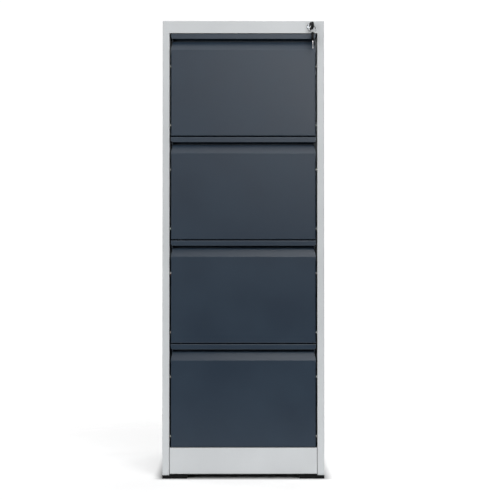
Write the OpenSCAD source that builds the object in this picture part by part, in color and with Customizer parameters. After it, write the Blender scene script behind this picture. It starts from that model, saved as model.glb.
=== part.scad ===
// Four-drawer steel filing cabinet.
// The origin is on the floor, under the middle of the case. +Z is up, the drawers open towards -Y.

/* [Case] */
// Overall width
case_w = 470; // [400:1:600]
// Overall depth, from the drawer faces to the back
case_d = 620; // [460:1:800]
// Height of the steel case above the feet
case_h = 1320; // [1060:1:1600]
// Thickness of the sheet steel
sheet_t = 0.8; // [0.6:0.1:1.2]
// Radius of a bend, at the middle of the sheet
bend_r = 2; // [1.2:0.1:3]
// Height of the rail across the top
rail_h = 36; // [30:1:60]
// Height of the plinth's place under the lowest drawer
plinth_h = 80; // [60:1:120]
// Gap under the plinth, above the bottom of the sides
plinth_lift = 3; // [0:0.5:8]
// Width of the upright edge beside the drawers
stile_w = 20.6; // [16:0.2:24]
// Depth of the folded upright edge
stile_d = 22; // [16:1:30]
// Width of the flanges that join the sheets
flange_w = 15; // [10:1:20]

/* [Feet] */
// Height of a foot
foot_h = 10; // [6:1:25]
// Width of a foot
foot_w = 75; // [50:1:95]
// Depth of a foot
foot_d = 60; // [40:1:90]
// Radius of a foot screw
foot_screw_r = 2.9; // [2:0.1:4]

/* [Drawers] */
// Gap between one drawer face and the next
face_gap = 3; // [2:0.1:5]
// Gap between a drawer face and the upright edge
side_gap = 4.4; // [2.5:0.1:6]
// Height of the strip over the finger pull
strip_h = 15.5; // [12:0.5:25]
// Height of the finger pull's opening
pull_h = 32; // [28:1:50]
// Height of the sloping part of the finger pull
bevel_h = 24.5; // [16:0.5:40]
// Depth of the sloping part
bevel_d = 12.5; // [8:0.5:16]
// Depth of the whole finger pull
pull_d = 26; // [22:1:34]
// How far the pull's ends stand in from the face's ends
pull_inset = 3; // [2:0.5:12]
// Radius of the strip's lower corners
strip_r = 6.5; // [2:0.5:8]
// Depth of the flange round the drawer face
face_flange = 17; // [10:1:20]
// Height of the drawer floor above the bottom of its face
floor_lift = 12; // [8:1:30]
// How far the drawer's sides stop below the top of its face
side_drop = 34; // [26:1:120]
// Height of the hem along a drawer's side, that files hang on
file_hem_h = 10; // [5:0.5:15]

/* [Slides] */
// Thickness of a drawer slide
slide_t = 12.7; // [11.5:0.1:15]
// Height of a drawer slide
slide_h = 45; // [38:1:60]
// Height of a slide's centre above the bottom of the drawer face
slide_z = 120; // [60:1:140]
// Depth of the posts that carry the slides
post_depth = 25.7; // [23:0.1:32]
// Width of a post's face
post_w = 36; // [24:1:60]
// Distance from the drawer face to the front end of a slide
slide_set = 40; // [36:1:60]
// Space left behind a slide
slide_room = 40; // [30:1:80]

/* [Lock] */
// Distance from the lock's centre to the side of the case
lock_in = 41.5; // [36:0.5:60]
// Distance from the lock's centre to the top of the case
lock_down = 17.5; // [15:0.5:18]
// Radius of the lock's rim
lock_r = 8.4; // [8:0.1:10]
// Radius of the turning plug
plug_r = 5; // [4.8:0.1:5.5]
// Height that the lock bar rises by
bar_lift = 12; // [10:1:14]
// Width of the lock bar
bar_w = 16; // [10:1:16]
// Thickness of the lock bar
bar_t = 2; // [1.5:0.1:3]
// Height of a catch's centre above the bottom of the drawer face
catch_z = 200; // [175:1:205]

/* [Keys] */
// Length of a key's head
bow_l = 26; // [22:1:32]
// Width of a key's head
bow_w = 21; // [18:1:26]
// Thickness of a key's head
bow_t = 4.8; // [3:0.1:6]
// How far the folding head leans to the right, in degrees
bow_lean = 18; // [0:1:30]
// Length of a key's blade
blade_l = 23; // [18:1:24]

/* [Hidden] */
$fn = 48;

case_colour = [0.79, 0.8, 0.81];
drawer_colour = [0.25, 0.29, 0.33];
zinc_colour = [0.72, 0.74, 0.75];
chrome_colour = [0.85, 0.86, 0.88];
plastic_colour = [0.05, 0.05, 0.06];
nylon_colour = [0.85, 0.85, 0.83];

drawer_count = 4;
half_w = case_w / 2;
front_y = -case_d / 2;
back_y = case_d / 2;
base_z = foot_h;
top_z = foot_h + case_h;
rail_z = top_z - rail_h;
in_t = sheet_t / 2;
fit_gap = 0.2;
inner_half = half_w - sheet_t;
opening_half = half_w - stile_w;
bend_room = bend_r + in_t;
pan_z = base_z + plinth_lift - sheet_t;
corner_steps = 4;
cut = 1;
lip_w = 8;
side_flange_y = front_y + stile_d + 20;
vent_pitch = 60;
vent_w = 40;
vent_h = 6;
vent_down = 56;
tongue_y = 6;
tongue_gap = 2;
foot_edge = 4;
foot_chamfer = 0.6;
foot_step = 6;
foot_sole = 2;
screw_gap = 0.4;
screw_head = 1;

pitch = (case_h - rail_h - plinth_h) / drawer_count;
front_h = pitch - face_gap;
front_w = 2 * (opening_half - side_gap);
face_h = front_h - strip_h - pull_h;
hem_gap = 1.8;
hem_r = 0.85;
hem_h = 9;
slope_r = 3;
ledge_r = 1.6;
face_lap = 6;
strip_cut = 6;
inner_front_gap = 1.2;
inner_flange = 12;
inner_front_drop = 8;
inner_front_y = pull_d + inner_front_gap;
tray_y = inner_front_y + sheet_t;
tray_half = inner_half - post_depth - slide_t;
tray_top = front_h - side_drop;
tray_l = case_d - tray_y - slide_room;
back_drop = 2;
back_corner = 4;
button_r = 3.5;
button_edge = 0.6;
button_y = 7;
button_gap = 0.4;
button_heights = [31, front_h - 95];

slide_l = case_d - slide_set - slide_room;
rail_t = 1.2;
middle_t = 1;
race_gap = 2.4;
web_gap = 1.2;
channel_r = 1.4;
outer_lip = 3.6;
middle_lip = 2.8;
inner_lip = 0.6;
middle_h = slide_h - 2 * (rail_t + race_gap);
inner_h = middle_h - 2 * (middle_t + race_gap + web_gap);
middle_in = 2;
inner_short = 6;
post_flange = 14;
post_in = 32;
post_ys = [slide_set + post_in, slide_set + slide_l - post_in];

lock_x = half_w - lock_in;
lock_z = top_z - lock_down;
rim_t = 2.5;
rim_edge = 0.8;
plug_lip = 0.3;
nut_r = 12;
nut_t = 4;
cam_r = 8;
square_r = 3.4;
pin_out = 0.8;
barrel_r = lock_r - 1;
plug_gap = 0.05;
cam_gap = 0.5;
bar_gap = 1.5;
bar_clear = 3.5;
plug_tail = 5;
keyway_short = 3;
cam_t = 2;
bar_y = tray_y + bar_gap;
plug_end = bar_y - bar_clear;
barrel_l = plug_end - plug_tail;
cam_y = barrel_l + cam_gap;
bar_in = 2.2;
pin_r = 2;
pin_arm = bar_lift / sqrt(2);
bar_x = inner_half - bar_in - bar_w;
slot_gap = 0.35;
catch_t = 2;
catch_gap = 1.2;
catch_h = 10;
catch_l = 24;
catch_out = opening_half - side_gap;
hook_reach = 7;
hook_x = catch_out - hook_reach;
hook_h = 10;
hook_gap = 1.5;
bar_foot = 14;
guide_gap = 0.4;
guide_t = 1;
guide_h = 14;
guide_drop = 60;
arm_w = 12;
slot_z = lock_z - bar_lift / 2;

pivot_out = 8;
blade_w = 8;
blade_t = 2;
knuckle_r = 2.2;
hinge_pin_r = 0.9;
pin_gap = 0.05;
fork_gap = 0.3;
hinge_l = bow_w - 12;
bow_r = 8;
notch_count = 4;
notch_in = 3;
notch_pitch = 3.4;
notch_w = 1.2;
notch_step = 0.3;
hole_r = 2.75;
hole_in = 5;

function front_z(n) = rail_z - face_gap / 2 - front_h - (n - 1) * pitch;
function hook_z(n) = front_z(n) + catch_z - catch_h / 2 - hook_gap - hook_h;
function unit(v) = v / norm(v);
function left_of(v) = [-v[1], v[0]];
function turned(v, a) = [v[0] * cos(a) - v[1] * sin(a), v[0] * sin(a) + v[1] * cos(a)];

// The points on one side of a bent strip, at a distance off from its middle line, with an arc at each bend
function strip_side(path, r, off) = [for (i = [0 : len(path) - 1])
    let (
        last = len(path) - 1,
        u = unit(i == 0 ? path[1] - path[0] : path[i] - path[i - 1]),
        w = i == last ? u : unit(path[i + 1] - path[i]),
        a = i == 0 || i == last ? 0 : atan2(cross(u, w), u * w),
        s = a < 0 ? -1 : 1,
        centre = path[i] - u * r[i] * tan(abs(a) / 2) + left_of(u) * s * r[i]
    )
    for (k = [0 : a == 0 ? 0 : corner_steps])
        a == 0 ? path[i] + left_of(u) * off
               : centre + turned(-left_of(u) * s, a * k / corner_steps) * (r[i] - s * off)];

function reversed(list) = [for (i = [len(list) - 1 : -1 : 0]) list[i]];

// A sheet bent along a path, seen on its edge
module bent(path, t = sheet_t, r = bend_r, radii = []) {
    rs = len(radii) > 0 ? radii : [for (p = path) r];
    polygon(concat(strip_side(path, rs, t / 2), reversed(strip_side(path, rs, -t / 2))));
}

// Corner points of a rectangle with round corners, from one corner to the other
function round_box(a, b, r) = [for (c = [[b[0] - r, b[1] - r, 0], [a[0] + r, b[1] - r, 90],
                                        [a[0] + r, a[1] + r, 180], [b[0] - r, a[1] + r, 270]])
    for (k = [0 : corner_steps])
        [c[0], c[1]] + r * [cos(c[2] + 90 * k / corner_steps), sin(c[2] + 90 * k / corner_steps)]];

// Stretches a shape drawn in Y and Z along X, about the middle
module along_x(w) rotate([90, 0, 90]) linear_extrude(w, center = true) children();

// Stretches a shape drawn in X and Z along Y, from y to y + l
module along_y(y, l) translate([0, y + l, 0]) rotate([90, 0, 0]) linear_extrude(l) children();

// The same shape on the left and on the right
module both_sides() {
    children();
    mirror([1, 0, 0]) children();
}

module block(a, b) translate(a) cube(b - a);

// A rod along Y, from y0 to y1
module rod_y(r, y0, y1) translate([0, y1, 0]) rotate([90, 0, 0]) cylinder(r = r, h = y1 - y0);

// ---- case ----

module side_panel() {
    x = half_w - in_t;
    lip_x = opening_half + in_t;
    lip_y = front_y + stile_d;
    translate([0, 0, base_z]) linear_extrude(rail_z - base_z)
        bent([[x - lip_w, lip_y], [lip_x, lip_y], [lip_x, front_y + in_t], [x, front_y + in_t],
              [x, back_y - in_t], [x - flange_w, back_y - in_t]]);
    // flange that the top cover stands on
    block([inner_half - flange_w, side_flange_y, rail_z - sheet_t],
          [half_w - in_t, back_y - flange_w, rail_z]);
}

module left_side_panel() color(case_colour) mirror([1, 0, 0]) side_panel();

module right_side_panel() color(case_colour) side_panel();

module back_panel() color(case_colour) difference() {
    y = back_y - sheet_t;
    block([-inner_half + bend_r, y - sheet_t, pan_z + sheet_t], [inner_half - bend_r, y, rail_z - sheet_t]);
    // air slots near the top
    for (i = [-2 : 2])
        block([i * vent_pitch - vent_w / 2, y - sheet_t - cut, rail_z - vent_down - vent_h],
              [i * vent_pitch + vent_w / 2, y + cut, rail_z - vent_down]);
}

module rounded_case(grow, z) {
    x = half_w + grow;
    y = case_d / 2 + grow;
    r = bend_room + grow;
    intersection() {
        translate([0, 0, z]) linear_extrude(top_z + grow - z) polygon(round_box([-x, -y], [x, y], r));
        along_x(2 * x) polygon(round_box([-y, z - 3 * r], [y, top_z + grow], r));
        along_y(-y, 2 * y) polygon(round_box([-x, z - 3 * r], [x, top_z + grow], r));
    }
}

module top_cover() color(case_colour) difference() {
    union() {
        difference() {
            rounded_case(0, rail_z);
            rounded_case(-sheet_t, rail_z - cut);
        }
        // flanges folded in under the rail, the sides and the back
        for (y = [front_y + in_t, back_y - in_t - flange_w])
            block([-inner_half, y, rail_z], [inner_half, y + flange_w, rail_z + sheet_t]);
        both_sides() block([inner_half - flange_w, side_flange_y, rail_z],
                           [half_w - in_t, back_y - flange_w, rail_z + sheet_t]);
    }
    translate([lock_x, 0, lock_z]) rod_y(barrel_r, front_y - cut, front_y + flange_w + cut);
}

module base_pan() color(case_colour) difference() {
    z = pan_z + in_t;
    x = inner_half - in_t;
    y = front_y + stile_d + sheet_t;
    union() {
        along_y(y, case_d - stile_d - 4 * sheet_t)
            bent([[-x, z + flange_w], [-x, z], [x, z], [x, z + flange_w]]);
        // tongue under the plinth's flange
        block([tongue_gap - opening_half, front_y + tongue_y, pan_z],
              [opening_half - tongue_gap, y + cut, pan_z + sheet_t]);
    }
    foot_places() cylinder(r = foot_screw_r + screw_gap, h = 4 * foot_h, center = true);
}

module plinth() color(case_colour) {
    low = base_z + plinth_lift + in_t;
    high = base_z + plinth_h - in_t;
    x = opening_half - fit_gap;
    translate([0, front_y, 0]) {
        along_x(2 * x - 2 * bend_room)
            bent([[stile_d, low], [in_t, low], [in_t, high], [stile_d, high]]);
        // ends folded back beside the uprights
        both_sides() intersection() {
            linear_extrude(high + in_t)
                bent([[x - 2 * bend_room, in_t], [x - in_t, in_t], [x - in_t, stile_d]]);
            along_x(case_w) polygon(round_box([0, low - in_t], [2 * stile_d, high + in_t], bend_room));
        }
    }
}

// The posts stand on the sides of the base pan, against the side panels
module slide_posts() color(zinc_colour) both_sides() for (y = post_ys)
    translate([0, front_y + y, pan_z + in_t + flange_w]) linear_extrude(rail_z - pan_z - flange_w - 3 * sheet_t) {
        x = inner_half - rail_t / 2;
        face = inner_half - post_depth + rail_t / 2;
        w = (post_w - rail_t) / 2;
        bent([[x, -w - post_flange], [x, -w], [face, -w], [face, w], [x, w], [x, w + post_flange]], rail_t);
    }

// ---- feet ----

// The middle of each foot, at floor level
module foot_places() for (x = [-1, 1], y = [-1, 1])
    translate([x * (half_w - foot_w / 2), y * (case_d / 2 - foot_d / 2), 0]) children();

module corner_feet() color(plastic_colour) difference() {
    both_sides() for (s = [0, 1]) mirror([0, s, 0]) {
        along_y(case_d / 2 - foot_d, foot_d)
            polygon([[half_w - foot_w, foot_h], [half_w - foot_w + foot_edge, 0], [half_w - foot_chamfer, 0],
                     [half_w, foot_chamfer], [half_w, foot_h]]);
        block([half_w - foot_w + foot_step, case_d / 2 - foot_d, foot_h - cut],
              [opening_half - tongue_gap, case_d / 2 - stile_d - tongue_gap, pan_z]);
    }
    foot_places() translate([0, 0, foot_sole]) cylinder(r = foot_screw_r, h = 2 * foot_h);
}

module foot_screws() color(zinc_colour) foot_places() {
    translate([0, 0, foot_sole]) cylinder(r = foot_screw_r, h = pan_z + sheet_t - foot_sole);
    translate([0, 0, pan_z + sheet_t]) difference() {
        cylinder(r = 2 * foot_screw_r, h = foot_screw_r);
        translate([0, 0, screw_head]) cylinder(r = foot_screw_r, h = foot_h, $fn = 6);
    }
}

// ---- drawers ----

// Places a drawer's pieces: the face is at y = 0 and its bottom edge at z = 0
module in_drawer(n) translate([0, front_y, front_z(n)]) children();

module face_skin() {
    x = front_w / 2;
    ledge = face_h + bevel_h;
    in_x = x - pull_inset;
    difference() {
        along_x(front_w) bent(
            [[in_t, face_h - face_lap], [in_t, face_h], [bevel_d + in_t, ledge], [pull_d - in_t, ledge],
             [pull_d - in_t, front_h - in_t], [in_t, front_h - in_t], [in_t, front_h - strip_h + in_t],
             [in_t + hem_gap, front_h - strip_h + in_t], [in_t + hem_gap, front_h - strip_h + hem_h]],
            radii = [0, slope_r, ledge_r, bend_r, bend_r, bend_r, hem_r, hem_r, 0]);
        // the slope narrows towards the back, and the pull is narrower than the face
        both_sides() along_y(-cut, pull_d + 2)
            polygon([[x, face_h], [in_x, ledge], [in_x, front_h - strip_h], [x + cut, front_h - strip_h],
                     [x + cut, face_h]]);
        both_sides() block([in_x, strip_cut, face_h], [x + cut, pull_d + cut, front_h + cut]);
        // round lower corners of the strip
        both_sides() along_y(-cut, strip_cut) difference() {
            translate([x - strip_r, front_h - strip_h]) square(strip_r + cut);
            translate([x - strip_r, front_h - strip_h + strip_r]) circle(strip_r);
            translate([x - strip_r - cut, front_h - strip_h + strip_r]) square(strip_r + 3 * cut);
        }
    }
    // ends of the pull
    both_sides() block([in_x - sheet_t, hem_gap + sheet_t + fit_gap, ledge], [in_x, pull_d, front_h - in_t]);
    // the flat face, with flanges folded back along its sides and bottom
    along_x(front_w - 2 * bend_room)
        bent([[face_flange, in_t], [in_t, in_t], [in_t, face_h - bend_r]]);
    both_sides() intersection() {
        linear_extrude(face_h) bent([[x - 2 * bend_room, in_t], [x - in_t, in_t], [x - in_t, face_flange]]);
        along_x(case_w) polygon(round_box([0, 0], [2 * face_flange, 2 * face_h], bend_room));
    }
}

module drawer_front(n) color(drawer_colour) in_drawer(n) face_skin();

module drawer_inner_front(n) color(drawer_colour) in_drawer(n) {
    x = front_w / 2 - sheet_t - fit_gap;
    y = inner_front_y + in_t;
    low = sheet_t + fit_gap;
    along_x(2 * (x - bend_room))
        bent([[y - inner_flange, low + in_t], [y, low + in_t], [y, front_h - inner_front_drop]]);
    both_sides() intersection() {
        translate([0, 0, low]) linear_extrude(face_h - low)
            bent([[x - 2 * bend_room, y], [x - in_t, y], [x - in_t, y - inner_flange]]);
        along_x(case_w) polygon(round_box([y - 2 * inner_flange, low], [y + in_t, 2 * front_h], bend_room));
    }
}

module drawer_tray(n) color(drawer_colour) in_drawer(n) {
    x = tray_half - in_t;
    in_x = x - hem_gap;
    low = floor_lift + in_t;
    high = tray_top - in_t;
    along_y(tray_y, tray_l) bent(
        [[-in_x, high - file_hem_h], [-in_x, high], [-x, high], [-x, low], [x, low], [x, high], [in_x, high],
         [in_x, high - file_hem_h]],
        radii = [0, hem_r, hem_r, bend_r, bend_r, hem_r, hem_r, 0]);
}

module drawer_back(n) color(drawer_colour) in_drawer(n) {
    y = tray_y + tray_l - in_t;
    low = floor_lift + sheet_t + in_t;
    high = tray_top - file_hem_h - back_drop;
    along_x(2 * (tray_half - sheet_t)) bent([[y - flange_w, high], [y, high], [y, low + back_corner]]);
    along_x(2 * (tray_half - bend_room - sheet_t)) bent([[y, low + 2 * back_corner], [y, low], [y - flange_w, low]]);
}

// Nylon buttons that keep the face off the uprights
module drawer_buttons(n) color(nylon_colour) in_drawer(n) both_sides() for (z = button_heights)
    translate([front_w / 2, button_y, z]) rotate([0, 90, 0]) rotate_extrude()
        polygon([[0, 0], [button_r, 0], [button_r, side_gap - button_gap - button_edge],
                 [button_r - button_edge, side_gap - button_gap], [0, side_gap - button_gap]]);

module drawer_catch(n) color(zinc_colour) in_drawer(n) {
    y = bar_y + bar_t + catch_gap;
    block([tray_half, y, catch_z - catch_h / 2], [catch_out, y + catch_t, catch_z + catch_h / 2]);
    block([tray_half, y + catch_t, catch_z - catch_h], [tray_half + catch_t, y + catch_l, catch_z + catch_h]);
    block([tray_half, y, catch_z - catch_h], [tray_half + catch_t, y + catch_t, catch_z + catch_h]);
}

// ---- slides ----

// A channel standing on edge: its web at x, h high, its flanges running to tip
module channel(x, tip, h, t) {
    z = (h - t) / 2;
    bent([[tip, -z], [x, -z], [x, z], [tip, z]], t, r = channel_r);
}

module in_slides(n, y, l) in_drawer(n) translate([0, 0, slide_z]) both_sides() along_y(y, l) children();

module drawer_slide_outer(n) color(zinc_colour) in_slides(n, slide_set, slide_l)
    channel(tray_half + slide_t - rail_t / 2, tray_half + outer_lip, slide_h, rail_t);

module drawer_slide_middle(n) color(zinc_colour) in_slides(n, slide_set + middle_in, slide_l - 2 * middle_in)
    channel(tray_half + slide_t - rail_t - web_gap - middle_t / 2, tray_half + middle_lip, middle_h, middle_t);

module drawer_slide_inner(n) color(zinc_colour) in_slides(n, slide_set, slide_l - inner_short)
    channel(tray_half + rail_t / 2, tray_half + slide_t - rail_t - 2 * web_gap - middle_t - inner_lip, inner_h,
            rail_t);

// ---- lock ----

// Places the lock's pieces: y = 0 is the face of the rail
module in_lock() translate([lock_x, front_y, lock_z]) children();

module lock_housing() color(chrome_colour) in_lock() difference() {
    rotate([-90, 0, 0]) rotate_extrude()
        polygon([[0, -rim_t], [lock_r - rim_edge, -rim_t], [lock_r, -rim_t + rim_edge], [lock_r, 0], [barrel_r, 0],
                 [barrel_r, barrel_l], [0, barrel_l]]);
    rod_y(plug_r + plug_gap, -rim_t - cut, barrel_l + cut);
}

module lock_nut() color(zinc_colour) in_lock() difference() {
    translate([0, sheet_t + nut_t, 0]) rotate([90, 30, 0]) cylinder(r = nut_r, h = nut_t, $fn = 6);
    rod_y(barrel_r, 0, sheet_t + nut_t + cut);
}

module lock_plug() color(chrome_colour) in_lock() difference() {
    rod_y(plug_r, -rim_t - plug_lip, plug_end);
    block([-blade_t / 2 - fit_gap, -rim_t - cut, -blade_w / 2 - fit_gap],
          [blade_t / 2 + fit_gap, blade_l - keyway_short, blade_w / 2 + fit_gap]);
    // square end for the cam
    difference() {
        block([-cam_r, cam_y, -cam_r], [cam_r, plug_end + cut, cam_r]);
        block([-square_r, cam_y - cut, -square_r], [square_r, plug_end + 2 * cut, square_r]);
    }
}

// The cam's pin drives the lock bar
module lock_cam() color(zinc_colour) in_lock() {
    pin_end = bar_y + bar_t + pin_out;
    difference() {
        union() {
            rod_y(cam_r, cam_y, cam_y + cam_t);
            rotate([0, -45, 0]) block([-pin_arm - square_r, cam_y, -square_r], [0, cam_y + cam_t, square_r]);
        }
        block([-square_r, cam_y - cut, -square_r], [square_r, cam_y + cam_t + cut, square_r]);
    }
    translate([-bar_lift / 2, 0, -bar_lift / 2]) rod_y(pin_r, cam_y + cam_t, pin_end);
}

// Upright strip of the lock bar; the arm and the hooks are welded to its edge
module lock_bar() color(zinc_colour) {
    low = hook_z(drawer_count) - bar_foot;
    block([bar_x, front_y + bar_y, low], [bar_x + bar_w, front_y + bar_y + bar_t, slot_z + arm_w / 2]);
}

// The cam's pin runs along the slot in this arm
module lock_bar_arm() color(zinc_colour) along_y(front_y + bar_y, bar_t) difference() {
    slot_x = lock_x - pin_arm;
    slot_r = pin_r + slot_gap;
    translate([slot_x - arm_w / 2, slot_z - arm_w / 2]) square([bar_x - slot_x + arm_w / 2, arm_w]);
    translate([slot_x - slot_r, slot_z - slot_r])
        square([pin_arm * (1 - 1 / sqrt(2)) + 2 * slot_r, 2 * slot_r]);
}

// One hook below each catch
module lock_bar_hooks() color(zinc_colour) for (n = [1 : drawer_count])
    block([hook_x, front_y + bar_y, hook_z(n)], [bar_x, front_y + bar_y + bar_t, hook_z(n) + hook_h]);

module lock_bar_guides() color(zinc_colour) {
    y = front_y + bar_y;
    for (n = [1 : drawer_count]) {
        z = front_z(n) + front_h - (n == 1 ? guide_drop / 2 : guide_drop);
        difference() {
            block([bar_x - guide_gap - guide_t, y - guide_gap - guide_t, z],
                  [inner_half, y + bar_t + guide_gap + guide_t, z + guide_h]);
            block([bar_x - guide_gap, y - guide_gap, z - cut],
                  [bar_x + bar_w + guide_gap, y + bar_t + guide_gap, z + guide_h + cut]);
        }
    }
}

// ---- keys ----

// A key's head in its own place: the hinge at the origin, the head running towards -Y, its flat sides facing X
module bow() {
    z = bow_w / 2;
    fork = knuckle_r + 2 * fork_gap;
    difference() {
        union() {
            translate([-bow_t / 2, 0, 0]) rotate([90, 0, 90]) linear_extrude(bow_t)
                polygon(round_box([-bow_l, -z], [0, z], bow_r));
            cylinder(r = bow_t / 2, h = hinge_l, center = true);
        }
        // gap for the knuckle, bore for the hinge pin and hole for the ring
        block([-bow_t, -fork, -blade_w / 2 - fork_gap], [bow_t, 2 * bow_t, blade_w / 2 + fork_gap]);
        cylinder(r = hinge_pin_r + pin_gap, h = bow_w, center = true);
        translate([0, hole_in - bow_l, 0]) rotate([0, 90, 0]) cylinder(r = hole_r, h = 2 * bow_t, center = true);
    }
}

// A key's blade in the same place: the hinge at the origin, the blade running towards +Y
module blade(l) {
    translate([0, 0, -blade_w / 2]) cylinder(r = knuckle_r, h = blade_w);
    cylinder(r = hinge_pin_r, h = hinge_l, center = true);
    difference() {
        block([-blade_t / 2, 0, -blade_w / 2], [blade_t / 2, l, blade_w / 2]);
        // cuts along the lower edge
        for (i = [1 : notch_count]) translate([0, l - notch_in - notch_pitch * i, -blade_w / 2])
            rotate([45, 0, 0]) let (w = notch_w + i % 2 * notch_step) cube([2 * blade_t, w, w], center = true);
    }
}

module at_key_hinge() translate([lock_x, front_y - pivot_out, lock_z]) children();

module key_blade() color(chrome_colour) at_key_hinge() blade(blade_l);

module key_head() color(plastic_colour) at_key_hinge() rotate([0, 0, bow_lean]) bow();

left_side_panel();
right_side_panel();
back_panel();
top_cover();
base_pan();
plinth();
slide_posts();
corner_feet();
foot_screws();
lock_housing();
lock_nut();
lock_bar_guides();
lock_plug();
lock_cam();
lock_bar();
lock_bar_arm();
lock_bar_hooks();
key_blade();
key_head();
drawer_front(1);  // drawer_1_front
drawer_inner_front(1);  // drawer_1_inner_front
drawer_tray(1);  // drawer_1_tray
drawer_back(1);  // drawer_1_back
drawer_buttons(1);  // drawer_1_buttons
drawer_catch(1);  // drawer_1_catch
drawer_slide_outer(1);  // drawer_1_slide_outer
drawer_slide_middle(1);  // drawer_1_slide_middle
drawer_slide_inner(1);  // drawer_1_slide_inner
drawer_front(2);  // drawer_2_front
drawer_inner_front(2);  // drawer_2_inner_front
drawer_tray(2);  // drawer_2_tray
drawer_back(2);  // drawer_2_back
drawer_buttons(2);  // drawer_2_buttons
drawer_catch(2);  // drawer_2_catch
drawer_slide_outer(2);  // drawer_2_slide_outer
drawer_slide_middle(2);  // drawer_2_slide_middle
drawer_slide_inner(2);  // drawer_2_slide_inner
drawer_front(3);  // drawer_3_front
drawer_inner_front(3);  // drawer_3_inner_front
drawer_tray(3);  // drawer_3_tray
drawer_back(3);  // drawer_3_back
drawer_buttons(3);  // drawer_3_buttons
drawer_catch(3);  // drawer_3_catch
drawer_slide_outer(3);  // drawer_3_slide_outer
drawer_slide_middle(3);  // drawer_3_slide_middle
drawer_slide_inner(3);  // drawer_3_slide_inner
drawer_front(4);  // drawer_4_front
drawer_inner_front(4);  // drawer_4_inner_front
drawer_tray(4);  // drawer_4_tray
drawer_back(4);  // drawer_4_back
drawer_buttons(4);  // drawer_4_buttons
drawer_catch(4);  // drawer_4_catch
drawer_slide_outer(4);  // drawer_4_slide_outer
drawer_slide_middle(4);  // drawer_4_slide_middle
drawer_slide_inner(4);  // drawer_4_slide_inner
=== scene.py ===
import math
import bmesh
import bpy
from mathutils import Matrix, Vector


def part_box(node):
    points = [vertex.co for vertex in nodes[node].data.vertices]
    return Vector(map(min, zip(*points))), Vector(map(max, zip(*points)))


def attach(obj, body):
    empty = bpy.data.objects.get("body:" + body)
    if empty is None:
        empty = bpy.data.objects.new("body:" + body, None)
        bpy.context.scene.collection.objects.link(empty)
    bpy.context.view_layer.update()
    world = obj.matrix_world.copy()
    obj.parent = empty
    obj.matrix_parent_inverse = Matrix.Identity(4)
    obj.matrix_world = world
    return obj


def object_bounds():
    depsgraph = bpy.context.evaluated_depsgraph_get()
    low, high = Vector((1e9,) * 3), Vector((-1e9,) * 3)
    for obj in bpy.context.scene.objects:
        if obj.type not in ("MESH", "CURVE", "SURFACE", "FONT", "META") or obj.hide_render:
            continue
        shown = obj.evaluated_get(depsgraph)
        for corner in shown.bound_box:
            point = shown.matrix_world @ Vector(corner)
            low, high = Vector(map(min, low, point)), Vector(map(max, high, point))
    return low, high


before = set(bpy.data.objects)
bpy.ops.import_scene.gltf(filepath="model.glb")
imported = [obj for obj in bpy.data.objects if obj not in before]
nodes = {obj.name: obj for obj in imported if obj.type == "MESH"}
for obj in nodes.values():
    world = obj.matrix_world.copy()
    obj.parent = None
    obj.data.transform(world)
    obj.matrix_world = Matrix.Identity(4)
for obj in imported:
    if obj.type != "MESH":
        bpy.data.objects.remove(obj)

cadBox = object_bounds()
mm = 0.001
print("frame loaded:", len(nodes), "pieces")


def hexLinear(text):
    # sRGB hex to the linear colour that a shader takes
    parts = [int(text[i:i + 2], 16) / 255 for i in (1, 3, 5)]
    return [c / 12.92 if c <= 0.04045 else ((c + 0.055) / 1.055) ** 2.4 for c in parts] + [1.0]


def addNode(tree, kind, settings=None, links=None):
    # a setting is the value of a socket where the node has one of that name, else an option of the node
    node = tree.nodes.new(kind)
    for key, value in (settings or {}).items():
        if isinstance(key, int) or key in node.inputs:
            node.inputs[key].default_value = value
        else:
            setattr(node, key, value)
    for key, source in (links or {}).items():
        tree.links.new(source, node.inputs[key])
    return node


def newMaterial(name):
    material = bpy.data.materials.new(name)
    material.use_nodes = True
    tree = material.node_tree
    tree.nodes.clear()
    out = addNode(tree, "ShaderNodeOutputMaterial")
    coords = addNode(tree, "ShaderNodeTexCoord").outputs["Object"]
    return material, tree, out, coords


# how far a face turns before its paint is worn pale or carries a painted highlight, and how shut or open
# a gap is for full or no painted shade
edgeAndGapSpec = {"flat": 0.99, "corner": 0.80, "shut": 0.55, "open": 0.95}


def edgeMask(tree, spec):
    # 1 on corners and bends tighter than the edge width, 0 on flat metal
    rounded = addNode(tree, "ShaderNodeBevel", {"samples": 4, "Radius": spec["edgeWidth"]}).outputs[0]
    flat = addNode(tree, "ShaderNodeNewGeometry").outputs["Normal"]
    same = addNode(tree, "ShaderNodeVectorMath", {"operation": "DOT_PRODUCT"}, {0: rounded, 1: flat})
    return addNode(tree, "ShaderNodeMapRange",
                   {"From Min": edgeAndGapSpec["flat"], "From Max": edgeAndGapSpec["corner"]},
                   {"Value": same.outputs["Value"]}).outputs["Result"]


def shadeInGaps(tree, colour, spec):
    # painted shade: the colour is darkened where ambient occlusion finds a narrow gap
    openness = addNode(tree, "ShaderNodeAmbientOcclusion", {"samples": 8, "Distance": spec["gapReach"]})
    depth = addNode(tree, "ShaderNodeMapRange",
                    {"From Min": edgeAndGapSpec["shut"], "From Max": edgeAndGapSpec["open"],
                     "To Min": spec["gapShade"]},
                    {"Value": openness.outputs["AO"]})
    return addNode(tree, "ShaderNodeVectorMath", {"operation": "SCALE"},
                   {0: colour, "Scale": depth.outputs["Result"]}).outputs[0]


# the values at which the clouds are fully dark and fully light
cloudEnds = {"dark": 0.35, "light": 0.65}


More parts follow.
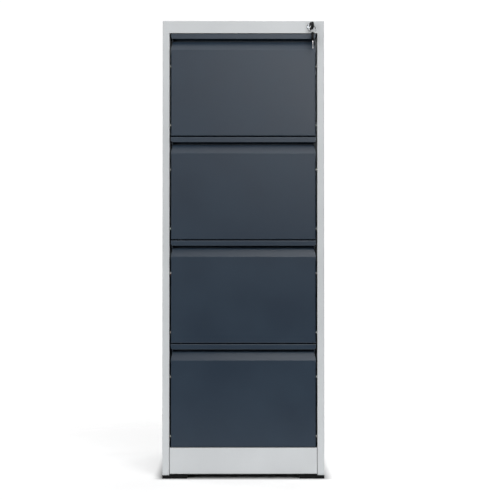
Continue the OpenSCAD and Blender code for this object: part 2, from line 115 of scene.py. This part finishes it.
def powderCoat(name, spec):
    # Powder-coated steel: baked polyester powder, semi-gloss, with the faint orange peel,
    # paler corners that are partly worn paint and partly a painted highlight on the bends, and painted
    # shade in the gaps
    material, tree, out, coords = newMaterial(name)
    cloud = addNode(tree, "ShaderNodeTexNoise", {"Scale": 1 / spec["cloudSize"], "Detail": 3.0},
                    {"Vector": coords})
    peel = addNode(tree, "ShaderNodeTexNoise",
                   {"Scale": 1 / spec["peelSize"], "Detail": 2.0, "Roughness": 0.45},
                   {"Vector": coords})
    speck = addNode(tree, "ShaderNodeTexNoise", {"Scale": 1 / spec["speckSize"], "Detail": 1.0},
                    {"Vector": coords})
    shade = addNode(tree, "ShaderNodeValToRGB", {}, {"Fac": cloud.outputs["Fac"]})
    for element, end in zip(shade.color_ramp.elements, ("dark", "light")):
        element.position = cloudEnds[end]
        element.color = hexLinear(spec[end])
    grain = addNode(tree, "ShaderNodeMapRange",
                    {"To Min": 1 - spec["speckDepth"], "To Max": 1 + spec["speckDepth"]},
                    {"Value": speck.outputs["Fac"]})
    grained = addNode(tree, "ShaderNodeVectorMath", {"operation": "SCALE"},
                      {0: shade.outputs["Color"], "Scale": grain.outputs["Result"]})
    # paler corners: worn paint on the case, and a painted highlight along the drawers' bends
    wornAndLitEdges = addNode(tree, "ShaderNodeMix", {"data_type": "RGBA", 7: hexLinear(spec["edge"])},
                   {6: grained.outputs[0]})
    fade = addNode(tree, "ShaderNodeMath", {"operation": "MULTIPLY", 1: spec["wearAndHighlight"]},
                   {0: edgeMask(tree, spec)})
    tree.links.new(fade.outputs[0], wornAndLitEdges.inputs[0])
    shaded = shadeInGaps(tree, wornAndLitEdges.outputs[2], spec)
    rough = addNode(tree, "ShaderNodeMapRange",
                    {"To Min": spec["rough"] - spec["roughSpan"],
                     "To Max": spec["rough"] + spec["roughSpan"]},
                    {"Value": cloud.outputs["Fac"]})
    bump = addNode(tree, "ShaderNodeBump", {"Strength": spec["peelDepth"], "Distance": 0.1 * mm},
                   {"Height": peel.outputs["Fac"]})
    shader = addNode(tree, "ShaderNodeBsdfPrincipled", {"IOR": spec["ior"]},
                     {"Base Color": shaded, "Roughness": rough.outputs["Result"],
                      "Normal": bump.outputs["Normal"]})
    tree.links.new(shader.outputs[0], out.inputs[0])
    return material


# light grey on the case: a soft gloss, paler where the paint wears at the bends, and with painted shade
# in the gaps; the peel is about
# 1.5 mm across on the real sheet, and drawn at 3 mm so that it shows
casePaintSpec = {
    "dark": "#C0C3C5", "light": "#C5C8CA", "edge": "#E6E7E8", "ior": 1.5, "rough": 0.40,
    "roughSpan": 0.05, "cloudSize": 160 * mm, "peelSize": 3 * mm, "peelDepth": 0.5,
    "speckSize": 1.2 * mm, "speckDepth": 0.02,
    "edgeWidth": 1.2 * mm, "wearAndHighlight": 0.5, "gapReach": 18 * mm, "gapShade": 0.30,
}
# slate grey on the drawers: the same gloss, with a painted highlight along the bends that shows as thin
# pale lines, and painted shade in the gaps
drawerPaintSpec = {
    "dark": "#122536", "light": "#15293A", "edge": "#5F6C77", "ior": 1.5, "rough": 0.40,
    "roughSpan": 0.05, "cloudSize": 140 * mm, "peelSize": 3 * mm, "peelDepth": 0.6,
    "speckSize": 1.2 * mm, "speckDepth": 0.06,
    "edgeWidth": 2.4 * mm, "wearAndHighlight": 0.5, "gapReach": 6 * mm, "gapShade": 0.6,
}
casePaint = powderCoat("light_grey_powder_coated_steel", casePaintSpec)
drawerPaint = powderCoat("slate_powder_coated_steel", drawerPaintSpec)


# the values at which the mottling is fully dark and fully light
spotEnds = {"dark": 0.1, "light": 0.6}


def platedMetal(name, spec):
    # Plated metal: mottled where the bath took unevenly, with fine lines from rolling or brushing, and
    # painted shade in the gaps
    material, tree, out, coords = newMaterial(name)
    spots = addNode(tree, "ShaderNodeTexVoronoi", {"Scale": 1 / spec["spotSize"]}, {"Vector": coords})
    blur = addNode(tree, "ShaderNodeTexNoise", {"Scale": 0.5 / spec["spotSize"], "Detail": 3.0},
                   {"Vector": coords})
    blend = addNode(tree, "ShaderNodeMath", {"operation": "MULTIPLY"},
                    {0: spots.outputs["Color"], 1: blur.outputs["Fac"]})
    tone = addNode(tree, "ShaderNodeValToRGB", {}, {"Fac": blend.outputs[0]})
    for element, end in zip(tone.color_ramp.elements, ("dark", "light")):
        element.position = spotEnds[end]
        element.color = hexLinear(spec[end])
    stretch = addNode(tree, "ShaderNodeMapping", {"Scale": [1 / size for size in spec["lineSize"]]},
                      {"Vector": coords})
    lines = addNode(tree, "ShaderNodeTexNoise", {"Scale": 1.0, "Detail": 2.0},
                    {"Vector": stretch.outputs[0]})
    rough = addNode(tree, "ShaderNodeMapRange",
                    {"To Min": spec["rough"] - spec["roughSpan"],
                     "To Max": spec["rough"] + spec["roughSpan"]},
                    {"Value": lines.outputs["Fac"]})
    bump = addNode(tree, "ShaderNodeBump", {"Strength": spec["lineDepth"], "Distance": 0.05 * mm},
                   {"Height": lines.outputs["Fac"]})
    shader = addNode(tree, "ShaderNodeBsdfPrincipled", {"Metallic": 1.0},
                     {"Base Color": shadeInGaps(tree, tone.outputs["Color"], spec),
                      "Roughness": rough.outputs["Result"],
                      "Normal": bump.outputs["Normal"]})
    tree.links.new(shader.outputs[0], out.inputs[0])
    return material


# bright zinc on rolled steel strip: grey-white, a little cloudy, with painted shade where it lies deep
# behind the gaps
zincSteel = platedMetal("zinc_plated_steel", {
    "dark": "#A9AFB3", "light": "#D3D7D9", "rough": 0.30, "roughSpan": 0.08, "spotSize": 9 * mm,
    "lineSize": [6 * mm, 40 * mm, 6 * mm], "lineDepth": 0.3, "gapReach": 60 * mm, "gapShade": 0.16})
# chromed zinc die casting: a dark mirror, faintly brushed
lockChrome = platedMetal("chromed_die_cast_zinc", {
    "dark": "#3A3C3E", "light": "#85888B", "rough": 0.12, "roughSpan": 0.05, "spotSize": 2.5 * mm,
    "lineSize": [1.2 * mm, 8 * mm, 1.2 * mm], "lineDepth": 0.3, "gapReach": 1.5 * mm, "gapShade": 0.3})
# nickel-plated brass key blank: grey silver, brushed along its length
keyNickel = platedMetal("nickel_plated_brass", {
    "dark": "#8D8C8C", "light": "#C4C3C4", "rough": 0.24, "roughSpan": 0.07, "spotSize": 4 * mm,
    "lineSize": [0.5 * mm, 6 * mm, 0.5 * mm], "lineDepth": 0.3, "gapReach": 1.5 * mm, "gapShade": 0.5})
# nickel-plated spring steel wire: bright and smooth
ringSteel = platedMetal("nickel_plated_spring_steel", {
    "dark": "#C2C4C6", "light": "#F0F1F2", "rough": 0.14, "roughSpan": 0.05, "spotSize": 3 * mm,
    "lineSize": [2 * mm, 2 * mm, 2 * mm], "lineDepth": 0.15, "gapReach": 1 * mm, "gapShade": 0.5})


# the values at which the scuffs are fully dark and fully light
scuffEnds = {"dark": 0.40, "light": 0.72}


def mouldedPlastic(name, spec):
    # Injection-moulded plastic: spark-eroded grain in the gloss, scuffed where hands and floors rub it,
    # with painted shade in the gaps
    material, tree, out, coords = newMaterial(name)
    grain = addNode(tree, "ShaderNodeTexNoise", {"Scale": 1 / spec["grainSize"], "Detail": 3.0},
                    {"Vector": coords})
    scuff = addNode(tree, "ShaderNodeTexNoise", {"Scale": 1 / spec["scuffSize"], "Detail": 5.0},
                    {"Vector": coords})
    tone = addNode(tree, "ShaderNodeValToRGB", {}, {"Fac": scuff.outputs["Fac"]})
    for element, end in zip(tone.color_ramp.elements, ("dark", "light")):
        element.position = scuffEnds[end]
        element.color = hexLinear(spec[end])
    rough = addNode(tree, "ShaderNodeMapRange",
                    {"To Min": spec["rough"] - spec["roughSpan"],
                     "To Max": spec["rough"] + spec["roughSpan"]},
                    {"Value": scuff.outputs["Fac"]})
    bump = addNode(tree, "ShaderNodeBump", {"Strength": spec["grainDepth"], "Distance": 0.05 * mm},
                   {"Height": grain.outputs["Fac"]})
    shader = addNode(tree, "ShaderNodeBsdfPrincipled",
                     {"IOR": spec["ior"], "Specular IOR Level": spec["sheen"],
                      "Subsurface Weight": spec["glow"], "Subsurface Scale": 1 * mm},
                     {"Base Color": shadeInGaps(tree, tone.outputs["Color"], spec),
                      "Roughness": rough.outputs["Result"],
                      "Normal": bump.outputs["Normal"]})
    tree.links.new(shader.outputs[0], out.inputs[0])
    return material


# polypropylene feet and ABS key heads: near black, satin
blackPlastic = mouldedPlastic("black_moulded_plastic", {
    "dark": "#040405", "light": "#0C0C0D", "ior": 1.5, "rough": 0.50, "roughSpan": 0.08, "sheen": 0.15,
    "glow": 0.0, "grainSize": 0.6 * mm, "grainDepth": 0.5, "scuffSize": 14 * mm,
    "gapReach": 2 * mm, "gapShade": 0.8})
# nylon 6 buttons: milky off-white that light sinks into a little, with painted shade where they sit in
# the gaps
whiteNylon = mouldedPlastic("white_moulded_nylon", {
    "dark": "#DAD9D2", "light": "#ECEBE5", "ior": 1.53, "rough": 0.45, "roughSpan": 0.08, "sheen": 0.5,
    "glow": 0.15, "grainSize": 0.5 * mm, "grainDepth": 0.3, "scuffSize": 6 * mm,
    "gapReach": 14 * mm, "gapShade": 0.2})

# the finish of each slot, and the width of the round on its edges
finishes = {
    "case_paint": (casePaint, 0.25 * mm),
    "drawer_paint": (drawerPaint, 0.25 * mm),
    "zinc_steel": (zincSteel, 0.15 * mm),
    "lock_chrome": (lockChrome, 0.15 * mm),
    "key_steel": (keyNickel, 0.15 * mm),
    "black_plastic": (blackPlastic, 0.4 * mm),
    "nylon": (whiteNylon, 0.15 * mm),
}
print("finishes made:", len(finishes), "for the frame's pieces and one for the key ring")


# points closer than the join are one, and folds sharper than the angle are edges
edgeSpec = {"join": 0.002 * mm, "sharpAngle": 35}


def roundEdges(piece, width, segments=2):
    # a tiny round on every hard edge, so that it catches the light as a real one does
    bevel = piece.modifiers.new("soft edge", "BEVEL")
    bevel.width = width
    bevel.segments = segments
    bevel.limit_method = "ANGLE"
    bevel.angle_limit = math.radians(edgeSpec["sharpAngle"])
    return bevel


for piece in nodes.values():
    finish, width = finishes[piece.data.materials[0].name.split(".")[0]]
    piece.data.materials.clear()
    piece.data.materials.append(finish)
    piece.modifiers.new("weld", "WELD").merge_threshold = edgeSpec["join"]
    bevel = roundEdges(piece, width)
    bevel.use_clamp_overlap = True
    bevel.harden_normals = True
print("finishes on the frame's pieces")


def meshPiece(name, bm, finish):
    mesh = bpy.data.meshes.new(name)
    bm.to_mesh(mesh)
    bm.free()
    piece = bpy.data.objects.new(name, mesh)
    bpy.context.scene.collection.objects.link(piece)
    mesh.materials.append(finish)
    return piece


def roundOutline(low, high, radius, steps=8):
    # corner points of a rectangle with round corners
    points = []
    for cx, cz, start in ((high[0] - radius, high[1] - radius, 0),
                          (low[0] + radius, high[1] - radius, 90),
                          (low[0] + radius, low[1] + radius, 180),
                          (high[0] - radius, low[1] + radius, 270)):
        for k in range(steps + 1):
            a = math.radians(start + 90 * k / steps)
            points.append((cx + radius * math.cos(a), cz + radius * math.sin(a)))
    return points


def plate(outline, holes, thick):
    # a flat plate standing in YZ, with its holes cut through along X
    bm = bmesh.new()
    for loop in [outline] + holes:
        verts = [bm.verts.new((-thick / 2, y, z)) for y, z in loop]
        for i, v in enumerate(verts):
            bm.edges.new((v, verts[i - 1]))
    bmesh.ops.triangle_fill(bm, use_beauty=True, edges=bm.edges[:], normal=(-1, 0, 0))
    grown = bmesh.ops.extrude_face_region(bm, geom=bm.faces[:])
    moved = [v for v in grown["geom"] if isinstance(v, bmesh.types.BMVert)]
    bmesh.ops.translate(bm, verts=moved, vec=(thick, 0, 0))
    bmesh.ops.recalc_face_normals(bm, faces=bm.faces[:])
    return bm


def smoothSides(piece):
    piece.data.polygons.foreach_set("use_smooth", [True] * len(piece.data.polygons))
    piece.data.set_sharp_from_angle(angle=math.radians(edgeSpec["sharpAngle"]))


# for both keys: leanOut is how far the inserted one's head is folded to the right, turn and lean are how
# the spare one hangs, all in degrees; hang is from the middle of a hole to the wire through it, and hinge
# from the outer end of the blade to the pin that the head folds on
keySpec = {
    "headLength": 26 * mm, "headWidth": 21 * mm, "headThick": 4.8 * mm, "corner": 8 * mm,
    "holeIn": 5 * mm, "holeRadius": 3.2 * mm, "holeSides": 24, "hinge": 2.2 * mm,
    "gripInset": 3.5 * mm, "gripBelow": 5.5 * mm, "gripCorner": 4 * mm, "gripProud": 0.35 * mm,
    "bladeLength": 23 * mm, "bladeWidth": 8 * mm, "bladeThick": 2 * mm, "bladeIn": 2 * mm,
    "leanOut": 18, "turn": 3, "lean": -1.0, "hang": 1.3 * mm,
}


def headHole():
    # middle of the hole in the inserted key's head, which folds at the outer end of the blade
    low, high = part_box("key_head")
    near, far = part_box("key_blade")
    pivot = Vector(((near[0] + far[0]) / 2, near[1] + keySpec["hinge"], (low[2] + high[2]) / 2))
    reach = keySpec["headLength"] - keySpec["holeIn"]
    a = math.radians(keySpec["leanOut"])
    return pivot + reach * Vector((math.sin(a), -math.cos(a), 0))


# the wire starts at startAngle, its turns lie turnPitch wire radii apart, and endTaper thins its ends
ringSpec = {"radius": 11 * mm, "wire": 0.7 * mm, "turn": 30, "turns": 1.85, "steps": 64, "sides": 10,
            "startAngle": -108, "turnPitch": 2.05, "endTaper": (0.55, 0.9)}


def keyRing(top):
    # a split ring: one wire wound nearly twice, its turns side by side
    spec = ringSpec
    bm = bmesh.new()
    count = int(spec["steps"] * spec["turns"])
    pitch = spec["turnPitch"] * spec["wire"]
    rings = []
    for i in range(count + 1):
        a = 2 * math.pi * i / spec["steps"] + math.radians(spec["startAngle"])
        shift = (i / spec["steps"] - spec["turns"] / 2) * pitch
        radial = Vector((math.cos(a), 0, math.sin(a)))
        middle = radial * spec["radius"] + Vector((0, shift, 0))
        end = min(i, count - i)
        r = spec["wire"] * (spec["endTaper"][end] if end < 2 else 1.0)
        rings.append([bm.verts.new(middle + r * (radial * math.cos(b) + Vector((0, math.sin(b), 0))))
                      for b in (2 * math.pi * k / spec["sides"] for k in range(spec["sides"]))])
    for low, high in zip(rings, rings[1:]):
        for k in range(spec["sides"]):
            bm.faces.new((low[k - 1], low[k], high[k], high[k - 1]))
    bm.faces.new(rings[0])
    bm.faces.new(reversed(rings[-1]))
    bmesh.ops.recalc_face_normals(bm, faces=bm.faces[:])
    piece = meshPiece("key_ring", bm, ringSteel)
    # all but the two flat ends
    for face in piece.data.polygons:
        face.use_smooth = len(face.vertices) == 4
    piece.matrix_world = (Matrix.Translation(top - Vector((0, 0, spec["radius"])))
                          @ Matrix.Rotation(math.radians(spec["turn"]), 4, "Z"))
    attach(piece, "key_head")


# the corners of the blade's tip, and the cuts along one edge
cutSpec = {"tip": 2.5 * mm, "tipFar": 3 * mm, "count": 5, "first": 4.4 * mm, "pitch": 3.2 * mm,
           "half": 1.1 * mm, "flat": 0.3 * mm, "shallow": 1.1 * mm, "deeper": 0.5 * mm}


def bladeOutline(foot):
    # the blade hangs from the foot of the head, with its tip cut to a blunt point
    w = keySpec["bladeWidth"] / 2
    root = foot + keySpec["bladeIn"]
    tip = foot - keySpec["bladeLength"]
    cut = cutSpec
    points = [(-w, root), (w, root), (w, tip + cut["tipFar"]), (w - cut["tip"], tip)]
    points += [(-w + cut["tip"], tip), (-w, tip + cut["tip"])]
    for k in range(cut["count"]):
        z = tip + cut["first"] + cut["pitch"] * k
        inner = -w + cut["shallow"] + cut["deeper"] * ((k * 2) % 3)
        points += [(-w, z - cut["half"]), (inner, z - cut["flat"])]
        points += [(inner, z + cut["flat"]), (-w, z + cut["half"])]
    return points


def spareKey(hole):
    spec = keySpec
    place = (Matrix.Translation(hole) @ Matrix.Rotation(math.radians(spec["turn"]), 4, "Z")
             @ Matrix.Rotation(math.radians(spec["lean"]), 4, "Y"))
    half = spec["headWidth"] / 2
    foot = spec["holeIn"] - spec["headLength"]
    ringHole = []
    for k in range(spec["holeSides"]):
        a = 2 * math.pi * k / spec["holeSides"]
        ringHole.append((spec["holeRadius"] * math.cos(a), spec["holeRadius"] * math.sin(a)))
    outline = roundOutline((-half, foot), (half, spec["holeIn"]), spec["corner"])
    head = meshPiece("spare_key_head", plate(outline, [ringHole], spec["headThick"]),
                     blackPlastic)
    roundEdges(head, 0.7 * mm, 3)
    # raised grip on each flat side
    inset = spec["gripInset"]
    pad = roundOutline((-half + inset, foot + inset), (half - inset, -spec["gripBelow"]),
                       spec["gripCorner"])
    grip = meshPiece("spare_key_grip", plate(pad, [], spec["headThick"] + 2 * spec["gripProud"]),
                     blackPlastic)
    roundEdges(grip, 0.3 * mm)
    blade = meshPiece("spare_key_blade", plate(bladeOutline(foot), [], spec["bladeThick"]),
                      keyNickel)
    roundEdges(blade, 0.15 * mm)
    for piece in (head, grip, blade):
        smoothSides(piece)
        piece.matrix_world = place
        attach(piece, "key_head")


hole = headHole()
ringTop = hole - Vector((0, 0, keySpec["hang"]))
keyRing(ringTop)
spareKey(ringTop - Vector((0, 0, 2 * ringSpec["radius"] + keySpec["hang"])))
print("key ring and spare key hung")


rivetSpec = {"radius": 2.4 * mm, "height": 0.9 * mm, "sides": 20, "rows": 4, "fromEdge": 8 * mm,
             "first": 60 * mm, "count": 7}


def dome(bm, place, spec):
    # a shallow rivet head on a flat face, closed at the back
    loops = []
    for row in range(spec["rows"]):
        a = math.pi / 2 * row / spec["rows"]
        reach = spec["radius"] * math.cos(a)
        rise = spec["height"] * math.sin(a)
        loop = []
        for k in range(spec["sides"]):
            b = 2 * math.pi * k / spec["sides"]
            loop.append(bm.verts.new(place @ Vector((reach * math.cos(b), reach * math.sin(b), rise))))
        loops.append(loop)
    loops.append([bm.verts.new(place @ Vector((0, 0, spec["height"])))])
    for low, high in zip(loops, loops[1:]):
        for k in range(spec["sides"]):
            if len(high) == 1:
                bm.faces.new((low[k - 1], low[k], high[0]))
            else:
                bm.faces.new((low[k - 1], low[k], high[k], high[k - 1]))
    bm.faces.new(reversed(loops[0]))


def backRivets():
    # pop rivets that hold the back panel to the flanges of the side panels
    low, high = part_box("right_side_panel")
    spec = rivetSpec
    step = (high[2] - low[2] - 2 * spec["first"]) / (spec["count"] - 1)
    bm = bmesh.new()
    for side in (-1, 1):
        for k in range(spec["count"]):
            spot = (side * (high[0] - spec["fromEdge"]), high[1], low[2] + spec["first"] + k * step)
            place = Matrix.Translation(spot) @ Matrix.Rotation(math.radians(-90), 4, "X")
            dome(bm, place, spec)
    bmesh.ops.recalc_face_normals(bm, faces=bm.faces[:])
    piece = meshPiece("back_rivets", bm, zincSteel)
    # all but the flat backs
    for face in piece.data.polygons:
        face.use_smooth = len(face.vertices) < spec["sides"]
    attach(piece, "cabinet")


backRivets()
print("rivets set")


# the paper starts to fade out at fadeFrom, and its tone is cloudy between darkest and lightest
floorSpec = {"radius": 1.8, "sides": 96, "fadeFrom": 1.0, "glow": 0.56, "glowEdge": 0.03,
             "cloudsPerMetre": 3.0, "darkest": 0.54, "lightest": 0.57}


def floor():
    # a round of white paper that fades into the white room, and glows a little but not under the cabinet
    spec = floorSpec
    bm = bmesh.new()
    bmesh.ops.create_circle(bm, cap_ends=True, segments=spec["sides"], radius=spec["radius"])
    mesh = bpy.data.meshes.new("floor")
    bm.to_mesh(mesh)
    bm.free()
    piece = bpy.data.objects.new("floor", mesh)
    bpy.context.scene.collection.objects.link(piece)
    material, tree, out, coords = newMaterial("white_studio_paper")
    tone = addNode(tree, "ShaderNodeTexNoise", {"Scale": spec["cloudsPerMetre"], "Detail": 2.0},
                   {"Vector": coords})
    white = addNode(tree, "ShaderNodeMapRange", {"To Min": spec["darkest"], "To Max": spec["lightest"]},
                    {"Value": tone.outputs["Fac"]})
    paper = addNode(tree, "ShaderNodeBsdfDiffuse", {}, {"Color": white.outputs["Result"]})
    # distance from the cabinet's footprint
    spread = addNode(tree, "ShaderNodeVectorMath", {"operation": "ABSOLUTE"}, {0: coords})
    foot = (cadBox[1][0], cadBox[1][1], 0.0)
    outside = addNode(tree, "ShaderNodeVectorMath", {"operation": "SUBTRACT", 1: foot},
                      {0: spread.outputs[0]})
    capped = addNode(tree, "ShaderNodeVectorMath", {"operation": "MAXIMUM", 1: (0, 0, 0)},
                     {0: outside.outputs[0]})
    away = addNode(tree, "ShaderNodeVectorMath", {"operation": "LENGTH"}, {0: capped.outputs[0]})
    glow = addNode(tree, "ShaderNodeMapRange", {"From Max": spec["glowEdge"], "To Max": spec["glow"]},
                   {"Value": away.outputs["Value"]})
    light = addNode(tree, "ShaderNodeEmission", {}, {"Strength": glow.outputs["Result"]})
    lit = addNode(tree, "ShaderNodeAddShader", {}, {0: paper.outputs[0], 1: light.outputs[0]})
    # distance from the middle of the floor
    reach = addNode(tree, "ShaderNodeVectorMath", {"operation": "LENGTH"}, {0: coords})
    fade = addNode(tree, "ShaderNodeMapRange",
                   {"From Min": spec["fadeFrom"], "From Max": spec["radius"]},
                   {"Value": reach.outputs["Value"]})
    clear = addNode(tree, "ShaderNodeBsdfTransparent")
    both = addNode(tree, "ShaderNodeMixShader", {},
                   {0: fade.outputs["Result"], 1: lit.outputs[0], 2: clear.outputs[0]})
    tree.links.new(both.outputs[0], out.inputs[0])
    mesh.materials.append(material)


# places, sizes and the points aimed at in metres, power in watts
softboxSpecs = {
    "key": {"place": (1.8, -4.4, 3.3), "aim": (0.0, -0.3, 0.8), "size": (1.4, 1.0), "power": 71.0},
    "low": {"place": (0.7, -4.6, 2.0), "aim": (0.0, -0.3, 0.8), "size": (1.4, 1.0), "power": 35.0},
    "side": {"place": (-2.2, -3.4, 1.6), "aim": (0.0, -0.3, 0.7), "size": (1.4, 2.0), "power": 45.0},
    "high": {"place": (0.5, -2.6, 3.2), "aim": (0.0, -0.3, 0.5), "size": (0.8, 0.6), "power": 18.0},
    "top": {"place": (0.0, -1.2, 3.6), "aim": (0.0, -0.5, 0.0), "size": (2.5, 1.5), "power": 26.0},
    "back": {"place": (1.4, 4.4, 3.0), "aim": (0.0, 0.3, 0.8), "size": (2.4, 1.6), "power": 110.0},
    "backLeft": {"place": (-3.6, 1.8, 1.8), "aim": (0.0, 0.0, 0.7), "size": (1.4, 2.0), "power": 60.0},
    "backRight": {"place": (3.6, 1.2, 1.6), "aim": (0.0, 0.0, 0.6), "size": (1.4, 2.0), "power": 50.0},
}


def softbox(name, spec):
    data = bpy.data.lights.new(name, "AREA")
    data.shape = "RECTANGLE"
    data.size, data.size_y = spec["size"]
    data.energy = spec["power"]
    lamp = bpy.data.objects.new(name, data)
    bpy.context.scene.collection.objects.link(lamp)
    lamp.location = spec["place"]
    aim = Vector(spec["aim"]) - Vector(spec["place"])
    lamp.rotation_euler = aim.to_track_quat("-Z", "Y").to_euler()


worldSpec = {"room": "#F4F7FF", "roomStrength": 0.02, "paperStrength": 1.05}


def studioWorld():
    # the camera sees plain white paper, and the cabinet is lit by a dimmer room
    world = bpy.data.worlds.new("studio")
    bpy.context.scene.world = world
    world.use_nodes = True
    tree = world.node_tree
    tree.nodes.clear()
    out = addNode(tree, "ShaderNodeOutputWorld")
    seen = addNode(tree, "ShaderNodeLightPath").outputs["Is Camera Ray"]
    room = addNode(tree, "ShaderNodeBackground",
                   {"Color": hexLinear(worldSpec["room"]), "Strength": worldSpec["roomStrength"]})
    paper = addNode(tree, "ShaderNodeBackground",
                    {"Color": (1, 1, 1, 1), "Strength": worldSpec["paperStrength"]})
    both = addNode(tree, "ShaderNodeMixShader", {}, {0: seen, 1: room.outputs[0], 2: paper.outputs[0]})
    tree.links.new(both.outputs[0], out.inputs[0])


floor()
studioWorld()
for name, spec in softboxSpecs.items():
    softbox(name + "_softbox", spec)
bpy.context.scene.view_settings.view_transform = "Standard"
print("studio lit")


# distance is from the drawer faces, which are frontIn behind the foremost point of the key
cameraSpec = {"distance": 4.0, "height": 0.60, "lens": 99.15, "sensor": 36.0, "clipEnd": 60,
              "aimX": 0.0193, "aimZ": 0.6625, "frontIn": 34 * mm}
data = bpy.data.cameras.new("camera")
data.lens = cameraSpec["lens"]
data.sensor_width = cameraSpec["sensor"]
data.clip_end = cameraSpec["clipEnd"]
camera = bpy.data.objects.new("camera", data)
bpy.context.scene.collection.objects.link(camera)
frontY = cadBox[0][1] + cameraSpec["frontIn"]
camera.location = (0, frontY - cameraSpec["distance"], cameraSpec["height"])
aim = Vector((cameraSpec["aimX"], frontY, cameraSpec["aimZ"])) - camera.location
camera.rotation_euler = aim.to_track_quat("-Z", "Y").to_euler()
bpy.context.scene.camera = camera
print("camera set")
